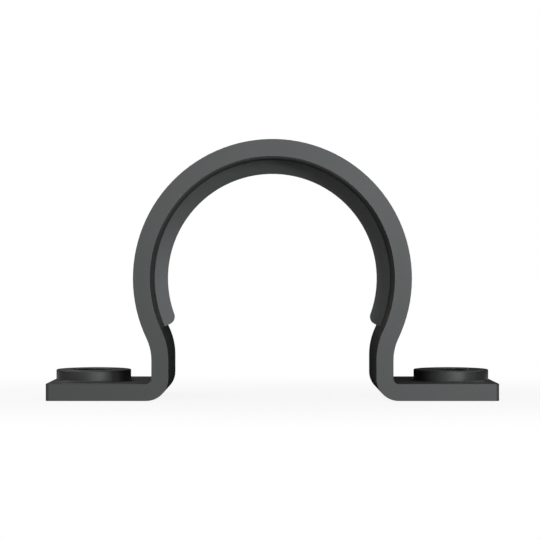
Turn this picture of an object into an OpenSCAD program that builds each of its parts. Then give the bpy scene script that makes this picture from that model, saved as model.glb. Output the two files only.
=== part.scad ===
// Moulded omega clip: a one-piece strap that snaps over a round ribbed duct and screws down at two feet.
// The duct runs along Y, the feet reach out along X, and the mounting surface is the plane z = 0.

/* [Duct seat] */
// Outside diameter of the duct that the arch holds
duct_d = 75; // [66:1:90]
// Gap between the duct and the mounting surface
duct_lift = 0; // [0:0.5:20]
// How far the inner face of each leg stands in from the side of the duct
leg_inset = 5.65; // [3.5:0.05:7.5]

/* [Strap] */
// Thickness of the strap, the same in the arch, the legs and the feet
strap_t = 5.2; // [3:0.1:6.4]
// Width of the strap along the duct
strap_w = 40.4; // [28:0.2:60]
// Radius on the outside of the waist between the arch and a leg
waist_r = 15.4; // [10:0.1:19]
// Radius in the corner between the outside of a leg and the top of its foot
bend_r = 1.6; // [0.6:0.1:4]

/* [Feet] */
// Distance from the outside of a leg to the middle of the screw hole
hole_off = 19.6; // [16:0.1:30]
// Distance from the middle of the screw hole to the end of the foot
hole_to_end = 12.85; // [12.2:0.05:25]
// Radius of the upright corners at the end of a foot
foot_corner_r = 1.2; // [0.4:0.1:5]

/* [Screw bosses] */
// Outside diameter of the round boss
boss_d = 23.6; // [18:0.1:25]
// Height of the boss above the top of the foot
boss_h = 3.5; // [1.5:0.1:8]
// Radius of the edge round the top of the boss
boss_edge_r = 0.3; // [0.1:0.05:1]
// Radius of the fillet round the bottom of the boss
boss_root_r = 0.5; // [0.2:0.05:0.9]
// Diameter of the screw hole
hole_d = 6.5; // [4:0.1:9]
// Diameter of the round recess for the screw's head and washer
recess_d = 12.4; // [10:0.1:16]
// Depth of the recess below the top of the boss
recess_depth = 3.5; // [1:0.1:6]
// Bevel round the mouth of the recess
recess_bevel = 0.25; // [0.1:0.05:0.8]

/* [Inner rib] */
// Height of the rib above the inside of the arch
rib_h = 4.35; // [2:0.05:6]
// Width of the rib where it leaves the arch
rib_root_w = 3.4; // [2.4:0.1:8]
// Width of the rib at its inner edge
rib_tip_w = 1.2; // [0.6:0.1:2.2]
// Radius of the fillet along each side of the rib
rib_fillet_r = 0.4; // [0.2:0.05:1]
// Angle by which each end of the rib stops short of the waist
rib_stop = 1.4; // [0:0.1:40]
// Radius of the rounded corner at each end of the rib
rib_corner_r = 2.6; // [1:0.1:4]

/* [Hidden] */
$fn = 180;
// Overlap of joined shapes, and how far a cut runs past a face
over = 1;

seat_r = duct_d / 2;
axis_h = seat_r + duct_lift;
arch_r = seat_r + strap_t;
leg_in = seat_r - leg_inset;
leg_out = leg_in + strap_t;
sole_r = bend_r + strap_t;

// The waist arc touches the arch at waist_a below the level of the duct's centre, and the leg at waist_z
waist_x = leg_out + waist_r;
waist_a = acos(waist_x / (arch_r + waist_r));
waist_z = axis_h - (arch_r + waist_r) * sin(waist_a);

hole_x = leg_out + hole_off;
foot_x = hole_x + hole_to_end;
boss_top = strap_t + boss_h;

rib_r = seat_r - rib_h;
rib_a = waist_a - rib_stop;
rib_draft = atan((rib_root_w - rib_tip_w) / 2 / rib_h);

// Everything under the outside of the strap: arch, waists, legs and feet
module outer_outline() {
    translate([0, axis_h]) circle(r = arch_r);
    difference() {
        translate([-arch_r * cos(waist_a), waist_z])
            square([2 * arch_r * cos(waist_a), axis_h - arch_r * sin(waist_a) - waist_z]);
        for (s = [-1, 1])
            translate([s * waist_x, waist_z]) circle(r = waist_r);
    }
    translate([-leg_out, 0]) square([2 * leg_out, axis_h]);
    translate([-foot_x - over, 0]) square([2 * (foot_x + over), strap_t]);
    for (s = [-1, 1]) mirror([s < 0 ? 1 : 0, 0])
        difference() {
            translate([leg_out - over, strap_t - over]) square(bend_r + over);
            translate([leg_out + bend_r, strap_t + bend_r]) circle(r = bend_r);
        }
}

// The open space under the strap, from the duct seat down between the legs
module inner_outline() {
    translate([0, axis_h]) circle(r = seat_r);
    difference() {
        translate([-seat_r * cos(waist_a), waist_z])
            square([2 * seat_r * cos(waist_a), axis_h - seat_r * sin(waist_a) - waist_z]);
        for (s = [-1, 1])
            translate([s * waist_x, waist_z]) circle(r = waist_r + strap_t);
    }
    translate([-leg_in, -over]) square([2 * leg_in, axis_h + over]);
    difference() {
        translate([-leg_in - sole_r, -over]) square([2 * (leg_in + sole_r), sole_r + over]);
        for (s = [-1, 1])
            translate([s * (leg_in + sole_r), sole_r]) circle(r = sole_r);
    }
}

// Plan of the whole clip, a rectangle with rounded corners at the ends of the feet
module plan_outline() {
    square([2 * foot_x, strap_w - 2 * foot_corner_r], center = true);
    square([2 * (foot_x - foot_corner_r), strap_w], center = true);
    for (x = [-1, 1], y = [-1, 1])
        translate([x * (foot_x - foot_corner_r), y * (strap_w / 2 - foot_corner_r)])
            circle(r = foot_corner_r);
}

module strap() {
    intersection() {
        rotate([90, 0, 0])
            linear_extrude(height = strap_w + 2 * over, center = true)
                difference() {
                    outer_outline();
                    inner_outline();
                }
        translate([0, 0, -over])
            linear_extrude(height = axis_h + arch_r + 2 * over) plan_outline();
    }
}

// Section of the rib: radius across, distance along the duct upwards, with a fillet along both sides
module rib_section() {
    root_y = rib_root_w / 2;
    tip_y = rib_tip_w / 2;
    // The fillet touches the rib's side and the inside of the arch at this distance from their corner
    reach = rib_fillet_r * tan(45 - rib_draft / 2);
    flank_x = seat_r - reach * cos(rib_draft);
    fillet_x = seat_r - rib_fillet_r;
    for (s = [-1, 1]) mirror([0, s < 0 ? 1 : 0]) {
        polygon([
            [seat_r + over, -over], [seat_r + over, root_y], [seat_r, root_y],
            [rib_r, tip_y], [rib_r, 0], [seat_r, -over]
        ]);
        difference() {
            polygon([
                [seat_r + over, 0], [flank_x, 0], [flank_x, root_y - reach * sin(rib_draft)],
                [fillet_x, root_y + reach], [seat_r + over, root_y + reach]
            ]);
            translate([fillet_x, root_y + reach]) circle(r = rib_fillet_r);
        }
    }
}

// Reach of the rib round the arch, seen along the duct: radial ends with a rounded inner corner.
// Each half is drawn with its end line along X, and the halves meet over the top of the arch.
module rib_reach() {
    far = 2 * arch_r;
    corner_a = asin(rib_corner_r / (rib_r + rib_corner_r));
    corner_x = (rib_r + rib_corner_r) * cos(corner_a);
    for (s = [-1, 1]) mirror([s < 0 ? 1 : 0, 0])
        rotate(-rib_a) {
            rotate(corner_a) translate([-far, 0]) square([2 * far, far]);
            translate([corner_x, 0]) square(far);
            translate([corner_x, rib_corner_r]) circle(r = rib_corner_r);
        }
}

module rib() {
    translate([0, 0, axis_h]) rotate([90, 0, 0])
        intersection() {
            rotate_extrude() rib_section();
            linear_extrude(height = rib_root_w + 2 * (rib_fillet_r + over), center = true)
                rib_reach();
        }
}

// Half section of a boss: rounded at the top edge, with a fillet where it meets the foot
module boss_section() {
    boss_r = boss_d / 2;
    translate([0, strap_t - over]) square([boss_r, boss_h + over - boss_edge_r]);
    translate([0, strap_t]) square([boss_r - boss_edge_r, boss_h]);
    translate([boss_r - boss_edge_r, boss_top - boss_edge_r]) circle(r = boss_edge_r);
    difference() {
        translate([0, strap_t - over]) square([boss_r + boss_root_r, boss_root_r + over]);
        translate([boss_r + boss_root_r, strap_t + boss_root_r]) circle(r = boss_root_r);
    }
}

// What is cut from each boss: screw hole, recess for the head, and the bevel at its mouth
module screw_cut() {
    translate([0, 0, -over]) cylinder(d = hole_d, h = boss_top + 2 * over);
    translate([0, 0, boss_top - recess_depth]) cylinder(d = recess_d, h = recess_depth + over);
    translate([0, 0, boss_top - recess_bevel])
        cylinder(d1 = recess_d, d2 = recess_d + 4 * recess_bevel, h = 2 * recess_bevel);
}

module clip() {
    color([0.27, 0.28, 0.28])
        difference() {
            union() {
                strap();
                rib();
                for (s = [-1, 1])
                    translate([s * hole_x, 0, 0]) rotate_extrude() boss_section();
            }
            for (s = [-1, 1])
                translate([s * hole_x, 0, 0]) screw_cut();
        }
}

clip();
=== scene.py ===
"""Omega clip: the moulded plastic of the one-piece clip, and the stage that it is looked at on."""

import math
from collections import namedtuple

import bpy
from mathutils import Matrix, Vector


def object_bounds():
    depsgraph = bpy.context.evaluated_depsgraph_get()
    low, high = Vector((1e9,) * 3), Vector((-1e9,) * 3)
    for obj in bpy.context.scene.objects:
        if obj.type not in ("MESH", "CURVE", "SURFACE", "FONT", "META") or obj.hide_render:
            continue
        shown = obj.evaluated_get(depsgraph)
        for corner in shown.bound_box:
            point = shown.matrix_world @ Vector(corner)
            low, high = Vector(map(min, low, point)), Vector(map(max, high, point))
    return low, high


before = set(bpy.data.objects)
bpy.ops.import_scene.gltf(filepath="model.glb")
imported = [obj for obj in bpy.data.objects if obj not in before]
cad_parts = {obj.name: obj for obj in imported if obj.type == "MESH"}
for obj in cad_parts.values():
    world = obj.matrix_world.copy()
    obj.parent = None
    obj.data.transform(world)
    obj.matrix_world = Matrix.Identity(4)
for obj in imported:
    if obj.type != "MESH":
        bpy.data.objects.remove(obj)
CAD_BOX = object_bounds()

bl_info = {
    "name": "Omega Clip",
    "version": (1, 0, 0),
    "blender": (4, 5, 0),
    "location": "3D View > Sidebar > Omega Clip",
    "description": "Finishes a moulded omega clip and sets it on a plain studio stage",
    "category": "Object",
}

CLIP = "clip"
# Where each axis stands in a point
X, Y, Z = range(3)

# The side of the photograph, and how far the horizon lies below its middle, in pixels
PHOTO_PX = 540
HORIZON_PX = 4

# The strap's front, back and thickness come from the frame. The other sizes are the moulding's own, and
# the outlines of the cards follow from them.
FRONT_Y, BACK_Y = CAD_BOX[0][Y], CAD_BOX[1][Y]
DUCT_R = 0.0375
STRAP_T = CAD_BOX[1][Z] - 2 * DUCT_R
ARCH_R = DUCT_R + STRAP_T
LEG_IN = 0.03185
LEG_OUT = LEG_IN + STRAP_T
BEND_R = 0.0016
WAIST_R = 0.0154
WAIST_X = LEG_OUT + WAIST_R
WAIST_TURN = math.degrees(math.acos(WAIST_X / (ARCH_R + WAIST_R)))
WAIST_Z = DUCT_R - (ARCH_R + WAIST_R) * math.sin(math.radians(WAIST_TURN))
BOSS_OFF = 0.0196
BOSS_R = 0.0118
BOSS_H = 0.0035
BOSS_X = LEG_OUT + BOSS_OFF
BOSS_TOP = STRAP_T + BOSS_H


class Wire:
    """A socket in a node tree, with the arithmetic that a finish is written in."""

    def __init__(self, tree, socket):
        self.tree = tree
        self.socket = socket

    def _maths(self, operation, first, second):
        """A new Math node on two values."""
        node = self.tree.nodes.new("ShaderNodeMath")
        node.operation = operation
        for socket, value in zip(node.inputs, (first, second)):
            plug(self.tree, socket, value)
        return Wire(self.tree, node.outputs[0])

    def __add__(self, other):
        return self._maths("ADD", self, other)

    def __sub__(self, other):
        return self._maths("SUBTRACT", self, other)

    def __rsub__(self, other):
        return self._maths("SUBTRACT", other, self)

    def __mul__(self, other):
        return self._maths("MULTIPLY", self, other)

    __radd__ = __add__
    __rmul__ = __mul__

    def either(self, other):
        """The larger of the two values."""
        return self._maths("MAXIMUM", self, other)


def plug(tree, socket, value):
    """Sets a socket to a plain value, or links it to a wire."""
    if isinstance(value, Wire):
        tree.links.new(value.socket, socket)
    else:
        socket.default_value = value


def identified(sockets, identifier):
    """The socket with an identifier, where several sockets share one name."""
    return next(socket for socket in sockets if socket.identifier == identifier)


class Finish:
    """The node tree of one material, or of the surroundings, while it is written."""

    def __init__(self, owner):
        owner.use_nodes = True
        self.tree = owner.node_tree
        self.tree.nodes.clear()

    def node(self, kind, settings=None, output=0, **values):
        """Adds a node: its settings first, then each socket's value or wire. Gives one output."""
        made = self.tree.nodes.new(kind)
        for name, setting in (settings or {}).items():
            setattr(made, name, setting)
        for name, value in values.items():
            plug(self.tree, made.inputs[name.replace("_", " ")], value)
        return Wire(self.tree, made.outputs[output])

    def mix_colour(self, factor, first, second):
        """A colour between two others."""
        made = self.tree.nodes.new("ShaderNodeMix")
        made.data_type = "RGBA"
        for name, value in (("Factor_Float", factor), ("A_Color", first), ("B_Color", second)):
            plug(self.tree, identified(made.inputs, name), value)
        return Wire(self.tree, identified(made.outputs, "Result_Color"))

    def mix_shader(self, factor, first, second):
        """A surface between two others."""
        made = self.tree.nodes.new("ShaderNodeMixShader")
        for socket, value in zip(made.inputs, (factor, first, second)):
            plug(self.tree, socket, value)
        return Wire(self.tree, made.outputs[0])

    def out(self, surface, kind="ShaderNodeOutputMaterial"):
        """Sends a surface to the tree's output."""
        plug(self.tree, self.tree.nodes.new(kind).inputs["Surface"], surface)

    def in_plain_sight(self):
        """1 for a ray that shows the background: straight from the camera, mirrored or through glass."""
        rays = self.tree.nodes.new("ShaderNodeLightPath").outputs
        camera, glossy, through = (
            Wire(self.tree, rays[name])
            for name in ("Is Camera Ray", "Is Glossy Ray", "Is Transmission Ray")
        )
        return camera.either(glossy).either(through)


WHITE, BLACK = (1.0, 1.0, 1.0, 1.0), (0.0, 0.0, 0.0, 1.0)


def toned(colour, share):
    """A colour made lighter or darker by a share."""
    return tuple(part * share for part in colour[:3]) + (1.0,)


class ClipPlasticSettings(bpy.types.PropertyGroup):
    """The moulded plastic."""

    colour: bpy.props.FloatVectorProperty(
        name="Colour", description="Body colour of the plastic", subtype="COLOR", size=4,
        min=0, max=1, default=(0.0325, 0.0323, 0.0314, 1.0),
    )
    roughness: bpy.props.FloatProperty(
        name="Roughness", description="How matt the moulded surface is", subtype="FACTOR",
        min=0.1, max=0.9, default=0.42,
    )
    gloss: bpy.props.FloatProperty(
        name="Gloss", description="Strength of the surface's reflection, 0.5 for common plastic",
        subtype="FACTOR", min=0, max=1, default=0.27,
    )
    grain: bpy.props.FloatProperty(
        name="Grain", description="Size of the fine texture left by the mould", subtype="DISTANCE",
        unit="LENGTH", min=0.0001, max=0.002, default=0.00035,
    )
    grain_depth: bpy.props.FloatProperty(
        name="Grain depth", description="Depth of the mould's texture", subtype="DISTANCE",
        unit="LENGTH", min=0, max=0.0001, default=0.000004,
    )
    mottle: bpy.props.FloatProperty(
        name="Mottle", description="How much the tone varies over the moulding", subtype="FACTOR",
        min=0, max=0.5, default=0.08,
    )


class ClipStageSettings(bpy.types.PropertyGroup):
    """The camera, the lamps and what stands round the clip."""

    camera_place: bpy.props.FloatVectorProperty(
        name="Camera", description="Where the camera stands, looking along the duct",
        subtype="TRANSLATION", unit="LENGTH", default=(-0.00074, -0.554, 0.03887),
    )
    lens: bpy.props.FloatProperty(
        name="Lens", description="Focal length in millimetres", min=20, max=300, default=116.33,
    )
    sensor: bpy.props.FloatProperty(
        name="Sensor", description="Width of the camera's sensor in millimetres", min=10, max=60,
        default=36.0,
    )
    lamp_distance: bpy.props.FloatProperty(
        name="Lamps", description="How far from the clip each softbox stands", subtype="DISTANCE",
        unit="LENGTH", min=0.3, max=5, default=0.9,
    )
    floor_size: bpy.props.FloatProperty(
        name="Floor", description="Side of the square floor", subtype="DISTANCE", unit="LENGTH",
        min=0.5, max=20, default=6.0,
    )
    floor_tone: bpy.props.FloatProperty(
        name="Floor tone", description="How pale the floor's paper is where it catches the lamps",
        subtype="FACTOR", min=0, max=1, default=0.6,
    )
    floor_white: bpy.props.FloatProperty(
        name="Floor white", description="How far the floor close to the clip is whitened over its shadow",
        subtype="FACTOR", min=0, max=1, default=0.9,
    )
    fill: bpy.props.FloatProperty(
        name="Fill", description="Strength of the light from the surroundings", min=0, max=1,
        default=0.18,
    )


# A cloudy noise mottles the moulding, and a fine one is its grain. Both move the roughness a little up and
# down, each by its share, about the middle of a noise's values.
CLOUDS_PER_M = 90.0
CLOUD_NOISE = {"Detail": 3.0, "Roughness": 0.55}
GRAIN_NOISE = {"Detail": 2.0, "Roughness": 0.6}
CLOUD_SHARE, GRAIN_SHARE = 0.05, 0.04
NOISE_MIDDLE = 0.5
PLASTIC_IOR = 1.5


def plastic_finish(made, settings):
    """Dark semi-matt plastic with a fine mould texture and a faint mottle."""
    finish = Finish(made)
    place = finish.node("ShaderNodeTexCoord", output="Object")
    cloud = finish.node("ShaderNodeTexNoise", Vector=place, Scale=CLOUDS_PER_M, **CLOUD_NOISE)
    grain = finish.node("ShaderNodeTexNoise", Vector=place, Scale=1.0 / settings.grain, **GRAIN_NOISE)
    colour = finish.mix_colour(
        cloud,
        toned(settings.colour, 1 - settings.mottle),
        toned(settings.colour, 1 + settings.mottle),
    )
    rough = (
        settings.roughness
        + (cloud - NOISE_MIDDLE) * CLOUD_SHARE
        + (grain - NOISE_MIDDLE) * GRAIN_SHARE
    )
    bump = finish.node("ShaderNodeBump", Height=grain, Strength=1.0, Distance=settings.grain_depth)
    finish.out(
        finish.node(
            "ShaderNodeBsdfPrincipled",
            Base_Color=colour,
            Roughness=rough,
            Specular_IOR_Level=settings.gloss,
            IOR=PLASTIC_IOR,
            Normal=bump,
        )
    )


class OMEGACLIP_OT_finish_clip(bpy.types.Operator):
    """Gives the moulding its plastic"""

    bl_idname = "omegaclip.finish_clip"
    bl_label = "Finish the clip"

    def execute(self, context):
        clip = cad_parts[CLIP]
        plastic = bpy.data.materials.new("moulded_plastic")
        plastic_finish(plastic, context.scene.clip_plastic)
        clip.data.materials.clear()
        clip.data.materials.append(plastic)
        return {"FINISHED"}


def plane(name, corners, finish):
    """A flat sheet inside an outline of corners."""
    mesh = bpy.data.meshes.new(name)
    mesh.from_pydata(corners, [], [tuple(range(len(corners)))])
    mesh.materials.append(finish)
    sheet = bpy.data.objects.new(name, mesh)
    bpy.context.scene.collection.objects.link(sheet)
    return sheet


# A square softbox, its size the length of a side. Azimuth 0 is the camera's side and 90 the clip's right,
# height is an angle above the floor, and arriving is how bright a white sheet that faces the lamp looks in
# its light.
Softbox = namedtuple("Softbox", "name azimuth height size arriving colour", defaults=(WHITE[:3],))
# The lamps in front are a little cool, and give the front faces their tone
COOL = (0.945, 1.0, 1.03)
KEY_AZIMUTH = 14
SOFTBOXES = (
    Softbox("key", KEY_AZIMUTH, 7, 0.14, 0.390, COOL),
    Softbox("beside_camera", -4, 5, 0.14, 0.155, COOL),
    Softbox("right_front", 29, 0, 0.07, 0.215, COOL),
    Softbox("left_high", -58, 36, 0.25, 0.165),
    Softbox("left", -88, 26, 0.25, 0.180),
    Softbox("right", 90, 20, 0.30, 0.155),
    Softbox("overhead", 0, 88, 0.40, 0.145),
    Softbox("back_right", 140, 45, 0.30, 0.070),
    Softbox("back_left", -140, 45, 0.30, 0.130),
    Softbox("back_left_low", -153, 20, 0.20, 0.015),
)
# The point in the clip that the softboxes face
AIM = Vector((0.0, 0.0, 0.035))


def direction(azimuth, height):
    """The unit vector from the clip towards a lamp."""
    turn, rise = math.radians(azimuth), math.radians(height)
    return Vector(
        (math.sin(turn) * math.cos(rise), -math.cos(turn) * math.cos(rise), math.sin(rise))
    )


def softbox(box, distance):
    """A square lamp that faces the clip."""
    lamp = bpy.data.lights.new(box.name, "AREA")
    lamp.shape = "SQUARE"
    lamp.size = box.size
    lamp.color = box.colour
    lamp.energy = (math.pi * distance) ** 2 * box.arriving
    # Light that a surface mirrors is sampled at the lamp alone, so that the shades keep it off as well
    lamp.cycles.use_multiple_importance_sampling = False
    made = bpy.data.objects.new(box.name, lamp)
    toward = direction(box.azimuth, box.height)
    made.location = AIM + toward * distance
    made.rotation_mode = "QUATERNION"
    made.rotation_quaternion = toward.to_track_quat("Z", "Y")
    bpy.context.scene.collection.objects.link(made)


# Directions in the clip's front view, in degrees. An outline that is mirrored stops just short of the top.
TOP, LEFT, BOTTOM = 90, 180, 270
NEAR_TOP = 89


def arc(x, z, radius, start, stop, steps=24):
    """Points along an arc in the clip's front view, its angles in degrees."""
    turns = (math.radians(start + (stop - start) * step / steps) for step in range(steps + 1))
    return [(x + radius * math.cos(turn), z + radius * math.sin(turn)) for turn in turns]


def oblong(left, right, low, high):
    """The four corners of an upright rectangle."""
    return [(left, low), (right, low), (right, high), (left, high)]


def on_plane(axis, at, outline):
    """Places an outline on the plane across one axis."""
    return [(*point[:axis], at, *point[axis:]) for point in outline]


def mirrored(outline):
    """The same outline on the other side of the clip."""
    return [(-x, z) for x, z in reversed(outline)]


def strap_inside():
    """The whole space under the strap, from one foot's bend to the other's."""
    right = (
        arc(LEG_OUT + BEND_R, STRAP_T + BEND_R, STRAP_T + BEND_R, BOTTOM, LEFT)
        + arc(WAIST_X, WAIST_Z, WAIST_R + STRAP_T, LEFT, LEFT - WAIST_TURN)
        + arc(0, DUCT_R, DUCT_R, -WAIST_TURN, NEAR_TOP)
    )
    return right + mirrored(right)


def strap_outside(stop):
    """The right side of the strap's outside, from the top of the foot up to an angle on the arch."""
    return (
        arc(LEG_OUT + BEND_R, STRAP_T + BEND_R, BEND_R, BOTTOM, LEFT)
        + arc(WAIST_X, WAIST_Z, WAIST_R, LEFT, LEFT - WAIST_TURN)
        + arc(0, DUCT_R, ARCH_R, -WAIST_TURN, stop)
    )


# The black cards, which paint dark reflections into the clip, stand a hair behind the strap, and the
# glows, which paint bright reflections, a hair in front of them
CARD_GAP, GLOW_GAP = 0.0006, 0.00003
CARD_Y = BACK_Y + CARD_GAP
GLOW_Y = CARD_Y - GLOW_GAP

# The card over a foot runs up the strap to an angle on the arch, out to its peak and down to its far edge
FOOT_CARD_STOP = 10
FOOT_CARD_PEAK = (0.095, 0.045)
FOOT_CARD_FAR_X, FOOT_CARD_FAR_Z = 0.200, 0.030

# A card stands at each end of the clip, one lies under it and one lies before it. The floor stays open
# between those two, from the clip's front to where the cards at the ends stop.
END_X = 0.12
END_TOP = 0.030
END_FRONT_Y = -0.08
BEFORE_LEFT_X = -0.08
BEFORE_FAR_Y = -0.24
LYING_Z = 0.0003

# One glow is a fan under the crown between two angles, just inside the arch. The other two are oblongs
# over the left foot, each given by its left, right, low and high edge. Each glow is a painted bright
# reflection that lights nothing.
CROWN_GLOW_START, CROWN_GLOW_STOP = 43, 158
CROWN_GLOW_GAP = 0.0004
CROWN_GLOW_R = DUCT_R - CROWN_GLOW_GAP
HIGH_GLOW = (-0.094, -0.0455, 0.025, 0.045)
LOW_GLOW = (-0.094, -0.0385, 0.0057, 0.012)

# A shade stands a hair in front of each side of the strap, as a band along its outside. The band's outer
# edge comes down to an angle on the arch, and then runs to a corner past the boss. A window over a low
# sill lets light through to the wall of the boss. SLANT is how far the key's light moves sideways from
# the strap's front to the middle of a boss, and it brings the left window nearer the strap.
SHADE_GAP = 0.0001
SHADE_Y = FRONT_Y - SHADE_GAP
SHADE_R = 0.062
SHADE_STOP = -12
SHADE_CORNER_X, SHADE_CORNER_Z = 0.090, 0.020
WINDOW_OVER_BOSS, SILL_H = 0.0015, 0.0010
WINDOW_TOP = BOSS_TOP + WINDOW_OVER_BOSS
SILL_TOP = STRAP_T + SILL_H
SLANT = -FRONT_Y * math.tan(math.radians(KEY_AZIMUTH))
RIGHT_WINDOW = (BOSS_X - BOSS_R / 2, BOSS_X + BOSS_R)
LEFT_WINDOW = (BOSS_X - BOSS_R - SLANT / 4, BOSS_X + BOSS_R - SLANT / 2)


def over_foot():
    """The space over the right foot, from the strap out to well past the foot's end."""
    far_edge = [(FOOT_CARD_FAR_X, FOOT_CARD_FAR_Z), (FOOT_CARD_FAR_X, STRAP_T)]
    return strap_outside(FOOT_CARD_STOP) + [FOOT_CARD_PEAK] + far_edge


def under_crown():
    """A fan from the duct's middle to just inside the arch."""
    return [(0, DUCT_R)] + arc(0, DUCT_R, CROWN_GLOW_R, CROWN_GLOW_START, CROWN_GLOW_STOP)


def round_strap(near, far):
    """A band round the right side of the strap, with a window for the boss between two distances."""
    return (
        strap_outside(TOP)
        + arc(0, DUCT_R, SHADE_R, TOP, SHADE_STOP)
        + [(SHADE_CORNER_X, SHADE_CORNER_Z), (SHADE_CORNER_X, STRAP_T)]
        + [(far, STRAP_T), (far, WINDOW_TOP), (near, WINDOW_TOP), (near, STRAP_T)]
    )


# A flat card across one axis, its outline in the other two: a black one that paints dark reflections, or
# one that glows as a painted bright reflection, both seen in the clip's reflections only, or a shade that
# keeps the front lamps off the strap's outside
Card = namedtuple("Card", "name axis at outline glow shades", defaults=(0.0, False))
CARDS = (
    # Painted dark reflections: black cards behind the strap, over the feet, at the ends, and under and
    # before the clip
    Card("card_under_strap", Y, CARD_Y, strap_inside()),
    Card("card_right_foot", Y, CARD_Y, over_foot()),
    Card("card_left_foot", Y, CARD_Y, mirrored(over_foot())),
    Card("card_right_end", X, END_X, oblong(END_FRONT_Y, CARD_Y, 0, END_TOP)),
    Card("card_left_end", X, -END_X, oblong(END_FRONT_Y, CARD_Y, 0, END_TOP)),
    Card("card_lying", Z, LYING_Z, oblong(-END_X, END_X, FRONT_Y, CARD_Y)),
    Card("card_before", Z, LYING_Z, oblong(BEFORE_LEFT_X, END_X, BEFORE_FAR_Y, END_FRONT_Y)),
    # Painted bright reflections: glows that only the clip's reflections show
    Card("glow_under_crown", Y, GLOW_Y, under_crown(), glow=0.35),
    Card("glow_left_foot", Y, GLOW_Y, oblong(*HIGH_GLOW), glow=0.45),
    Card("glow_left_low", Y, GLOW_Y, oblong(*LOW_GLOW), glow=0.07),
    Card("shade_right", Y, SHADE_Y, round_strap(*RIGHT_WINDOW), shades=True),
    Card("shade_left", Y, SHADE_Y, mirrored(round_strap(*LEFT_WINDOW)), shades=True),
    Card("sill_right", Y, SHADE_Y, oblong(*RIGHT_WINDOW, STRAP_T, SILL_TOP), shades=True),
    Card("sill_left", Y, SHADE_Y, mirrored(oblong(*LEFT_WINDOW, STRAP_T, SILL_TOP)), shades=True),
)


def card_finish(name, glow):
    """A black sheet for a painted dark reflection, or a plain glow for a painted bright reflection that
    lights nothing else.
    """
    paper = bpy.data.materials.new(name)
    finish = Finish(paper)
    if glow:
        finish.out(finish.node("ShaderNodeEmission", Color=WHITE, Strength=glow))
        paper.cycles.emission_sampling = "NONE"
    else:
        finish.out(finish.node("ShaderNodeBsdfDiffuse", Color=BLACK))
    return paper


# The floor turns fully white between two distances from the clip's middle. A distance counts for less
# along X, because the clip and its shadow are long that way.
SHADOW_NEAR, SHADOW_FAR = 0.03, 0.13
SHADOW_SQUEEZE = (0.45, 1.0, 1.0)

# The turn of a camera that looks level along Y, and the nearest and farthest that it sees
LEVEL = (math.radians(90), 0, 0)
SEEN_FROM, SEEN_TO = 0.01, 20


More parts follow.
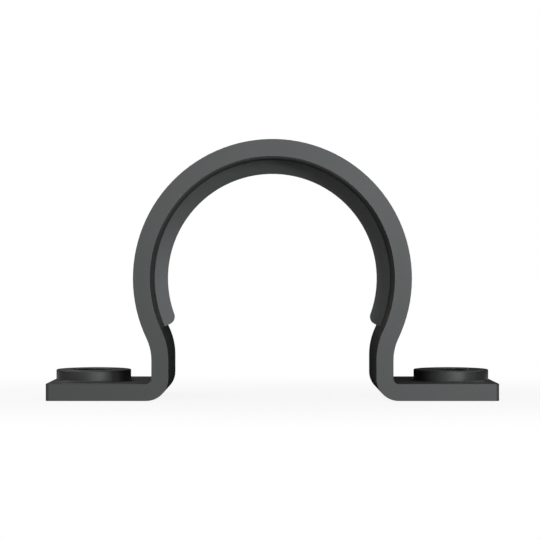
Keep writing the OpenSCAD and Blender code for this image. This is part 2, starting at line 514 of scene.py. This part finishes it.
class OMEGACLIP_OT_set_stage(bpy.types.Operator):
    """Makes the floor, the white surroundings, the cards, the lamps and the camera"""

    bl_idname = "omegaclip.set_stage"
    bl_label = "Set the stage"

    def execute(self, context):
        scene = context.scene
        settings = scene.clip_stage
        self.floor(settings)
        self.surroundings(scene, settings)
        self.cards()
        for box in SOFTBOXES:
            softbox(box, settings.lamp_distance)
        self.camera(scene, settings)
        scene.view_settings.view_transform = "Standard"
        return {"FINISHED"}

    def floor(self, settings):
        """White paper, with the clip's shadow kept near the clip and fading out further away."""
        half = settings.floor_size / 2
        paper = bpy.data.materials.new("floor_paper")
        finish = Finish(paper)
        white = finish.node("ShaderNodeEmission", Color=WHITE, Strength=1.0)
        lit = finish.node("ShaderNodeBsdfDiffuse", Color=toned(WHITE, settings.floor_tone))
        place = finish.node("ShaderNodeTexCoord", output="Object")
        squeezed = finish.node("ShaderNodeMapping", Vector=place, Scale=SHADOW_SQUEEZE)
        away = finish.node(
            "ShaderNodeVectorMath", {"operation": "LENGTH"}, output="Value", Vector=squeezed
        )
        whiteness = finish.node(
            "ShaderNodeMapRange",
            {"interpolation_type": "SMOOTHSTEP"},
            Value=away,
            From_Min=SHADOW_NEAR,
            From_Max=SHADOW_FAR,
            To_Min=settings.floor_white,
            To_Max=1.0,
        )
        finish.out(finish.mix_shader(finish.in_plain_sight() * whiteness, lit, white))
        plane("floor", on_plane(Z, 0, oblong(-half, half, -half, half)), paper)

    def surroundings(self, scene, settings):
        """White where they are seen or mirrored, and dimmer where they light a surface."""
        world = bpy.data.worlds.new("white_surroundings")
        scene.world = world
        finish = Finish(world)
        plain = finish.node("ShaderNodeBackground", Color=WHITE, Strength=1.0)
        dim = finish.node("ShaderNodeBackground", Color=WHITE, Strength=settings.fill)
        finish.out(finish.mix_shader(finish.in_plain_sight(), dim, plain), "ShaderNodeOutputWorld")

    def cards(self):
        """Cards that show in reflections alone, as painted dark and bright reflections, and shades that
        only cast a shadow.
        """
        for card in CARDS:
            sheet = plane(
                card.name, on_plane(card.axis, card.at, card.outline), card_finish(card.name, card.glow)
            )
            sheet.visible_camera = False
            sheet.visible_diffuse = False
            sheet.visible_transmission = False
            sheet.visible_glossy = not card.shades
            sheet.visible_shadow = card.shades

    def camera(self, scene, settings):
        """The photograph's camera, level and straight in front of the clip."""
        data = bpy.data.cameras.new("camera")
        data.sensor_width = settings.sensor
        data.lens = settings.lens
        data.shift_y = HORIZON_PX / PHOTO_PX
        data.clip_start, data.clip_end = SEEN_FROM, SEEN_TO
        made = bpy.data.objects.new("camera", data)
        made.location = settings.camera_place
        made.rotation_euler = LEVEL
        scene.collection.objects.link(made)
        scene.camera = made


class OMEGACLIP_PT_panel(bpy.types.Panel):
    """Lists the steps and their settings"""

    bl_idname = "OMEGACLIP_PT_panel"
    bl_label = "Omega Clip"
    bl_space_type = "VIEW_3D"
    bl_region_type = "UI"
    bl_category = "Omega Clip"

    def draw(self, context):
        layout = self.layout
        for step, group in STEPS:
            layout.operator(step.bl_idname)
            settings = getattr(context.scene, group)
            for name in settings.__annotations__:
                layout.prop(settings, name)


STEPS = (
    (OMEGACLIP_OT_finish_clip, "clip_plastic"),
    (OMEGACLIP_OT_set_stage, "clip_stage"),
)
CLASSES = (
    ClipPlasticSettings,
    ClipStageSettings,
    OMEGACLIP_OT_finish_clip,
    OMEGACLIP_OT_set_stage,
    OMEGACLIP_PT_panel,
)


def register():
    """Makes the classes and their settings known."""
    for kind in CLASSES:
        bpy.utils.register_class(kind)
    bpy.types.Scene.clip_plastic = bpy.props.PointerProperty(type=ClipPlasticSettings)
    bpy.types.Scene.clip_stage = bpy.props.PointerProperty(type=ClipStageSettings)


def unregister():
    """Takes the settings and the classes away again."""
    del bpy.types.Scene.clip_stage
    del bpy.types.Scene.clip_plastic
    for kind in reversed(CLASSES):
        bpy.utils.unregister_class(kind)


def main():
    """Registers the add-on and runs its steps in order."""
    register()
    bpy.ops.omegaclip.finish_clip()
    bpy.ops.omegaclip.set_stage()


if __name__ == "__main__":
    main()
